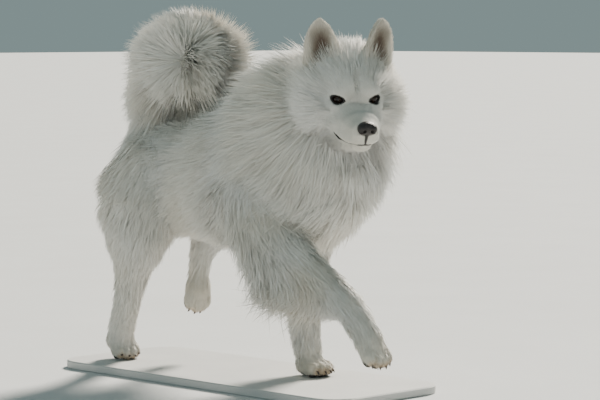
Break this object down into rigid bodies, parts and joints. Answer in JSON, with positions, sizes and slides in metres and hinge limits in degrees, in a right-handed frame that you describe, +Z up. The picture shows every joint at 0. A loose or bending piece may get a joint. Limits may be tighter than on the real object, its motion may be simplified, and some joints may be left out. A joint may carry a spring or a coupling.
{
  "type": "samoyed dog model",
  "caption": "Life-size still model of a thick-coated white spitz dog trotting, tail curled over the back, on a flat rounded base.",
  "frame": {"origin": "middle of the flat underside of the base", "axes": "+Z up, the dog's trunk faces -Y, its left side is +X"},
  "size_m": [0.3531, 0.9419, 0.8049],
  "materials": {
    "coat": "long soft fur, matt",
    "foot_coat": "short close fur, matt, faint cream stain",
    "ear_coat": "short fur, darker inside",
    "nose": "black, moist, pebbled",
    "eye": "dark brown, clear gloss",
    "claw": "dark horn, satin",
    "base": "plain satin paint, warm grey"
  },
  "bodies": {
    "root": {"chest": "coat", "head": "coat", "left_ear": "ear_coat", "left_eye": "eye", "left_fore_claw_1": "claw", "left_fore_claw_2": "claw", "left_fore_claw_3": "claw", "left_fore_claw_4": "claw", "left_fore_forearm": "coat", "left_fore_pastern": "foot_coat", "left_fore_paw": "foot_coat", "left_fore_upper": "coat", "left_hind_claw_1": "claw", "left_hind_claw_2": "claw", "left_hind_claw_3": "claw", "left_hind_claw_4": "claw", "left_hind_hock": "foot_coat", "left_hind_paw": "foot_coat", "left_hind_shank": "coat", "left_hind_thigh": "coat", "loin": "coat", "lower_jaw": "coat", "neck": "coat", "nose": "nose", "right_ear": "ear_coat", "right_eye": "eye", "right_fore_claw_1": "claw", "right_fore_claw_2": "claw", "right_fore_claw_3": "claw", "right_fore_claw_4": "claw", "right_fore_forearm": "coat", "right_fore_pastern": "foot_coat", "right_fore_paw": "foot_coat", "right_fore_upper": "coat", "right_hind_claw_1": "claw", "right_hind_claw_2": "claw", "right_hind_claw_3": "claw", "right_hind_claw_4": "claw", "right_hind_hock": "foot_coat", "right_hind_paw": "foot_coat", "right_hind_shank": "coat", "right_hind_thigh": "coat", "rump": "coat", "stand_base": "base", "tail_middle": "coat", "tail_root": "coat", "tail_tip": "coat"}
  },
  "joints": []
}
